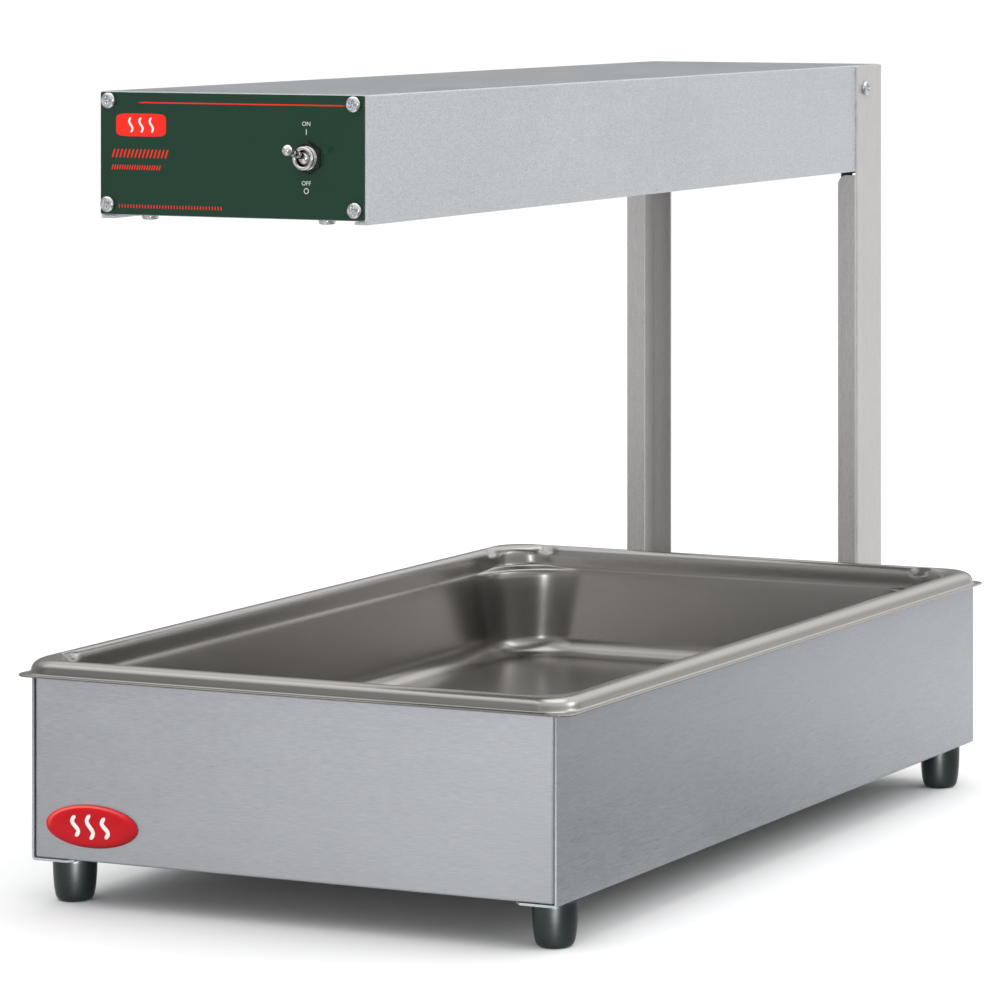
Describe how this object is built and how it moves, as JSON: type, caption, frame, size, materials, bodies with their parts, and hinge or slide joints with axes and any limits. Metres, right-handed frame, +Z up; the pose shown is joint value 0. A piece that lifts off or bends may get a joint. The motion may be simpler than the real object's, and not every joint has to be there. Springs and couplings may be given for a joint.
{
  "type": "heat lamp warmer",
  "caption": "Countertop food warmer: sheet-metal base with a lift-out full-size food pan under a cantilevered infrared lamp housing on rear channel legs, switched by a front toggle.",
  "frame": {"origin": "on the floor under the middle of the overall length and width; the centre of the base footprint is 18.4 mm further back (+Y)", "axes": "+X right as seen from the control panel, -Y front (control panel side), +Z up"},
  "size_m": [0.3244, 0.6362, 0.423],
  "materials": {
    "brushed_stainless": "horizontal brushed grain",
    "leg_stainless": "fine satin",
    "pan_stainless": "drawn, satin polished",
    "anodised_aluminium": "clear anodised, fine matt speckle",
    "bright_aluminium": "bright rolled",
    "end_cap_steel": "satin",
    "foot_rubber": "smooth moulded",
    "badge_enamel": "domed gloss",
    "panel_enamel": "gloss screen-printed",
    "element_sheath": "heat-darkened",
    "ceramic": "matt",
    "nickel": "nickel plate",
    "black_oxide": "black oxide, oiled",
    "zinc": "bright zinc plate",
    "brass_terminals": "plain",
    "phenolic": "moulded",
    "wire_insulation": "silicone jacket",
    "black_plastic": "moulded",
    "cord_jacket": "extruded jacket"
  },
  "bodies": {
    "root": {"back_panel": "brushed_stainless", "badge": "badge_enamel", "cap_screws": "zinc", "control_panel": "panel_enamel", "cord_conductors": "wire_insulation", "cord_tie": "black_plastic", "element_hangers": "zinc", "element_insulators": "ceramic", "element_terminals": "brass_terminals", "feet": "foot_rubber", "foot_nuts": "zinc", "foot_screws": "zinc", "foot_washers": "zinc", "front_end_cap": "end_cap_steel", "front_panel": "brushed_stainless", "heating_element": "element_sheath", "housing_shell": "anodised_aluminium", "lead_wires": "wire_insulation", "left_leg": "leg_stainless", "left_side_panel": "brushed_stainless", "leg_bolts": "zinc", "leg_nuts": "zinc", "leg_web_nuts": "zinc", "leg_web_screws": "zinc", "panel_screws": "zinc", "plug_body": "cord_jacket", "plug_prongs": "brass_terminals", "power_cord": "cord_jacket", "rear_cap_screws": "zinc", "rear_end_cap": "end_cap_steel", "reflector": "bright_aluminium", "reflector_ends": "bright_aluminium", "right_leg": "leg_stainless", "right_side_panel": "brushed_stainless", "strain_relief": "black_plastic", "switch_body": "phenolic", "switch_bushing": "nickel", "switch_nut": "black_oxide", "switch_pin": "zinc", "switch_terminals": "brass_terminals", "switch_washer": "zinc", "terminal_block": "ceramic"},
    "pan": {"food_pan": "pan_stainless"},
    "lever": {"switch_lever": "nickel"}
  },
  "joints": [
    {"name": "pan_lift", "type": "slide", "parent": "root", "child": "pan", "axis": [0, 0, 1], "range_m": [0, 0.11]},
    {"name": "switch_throw", "type": "hinge", "parent": "root", "child": "lever", "pos_m": [0.0446, -0.29822, 0.3918], "axis": [1, 0, 0], "range_deg": [0, 30]}
  ]
}
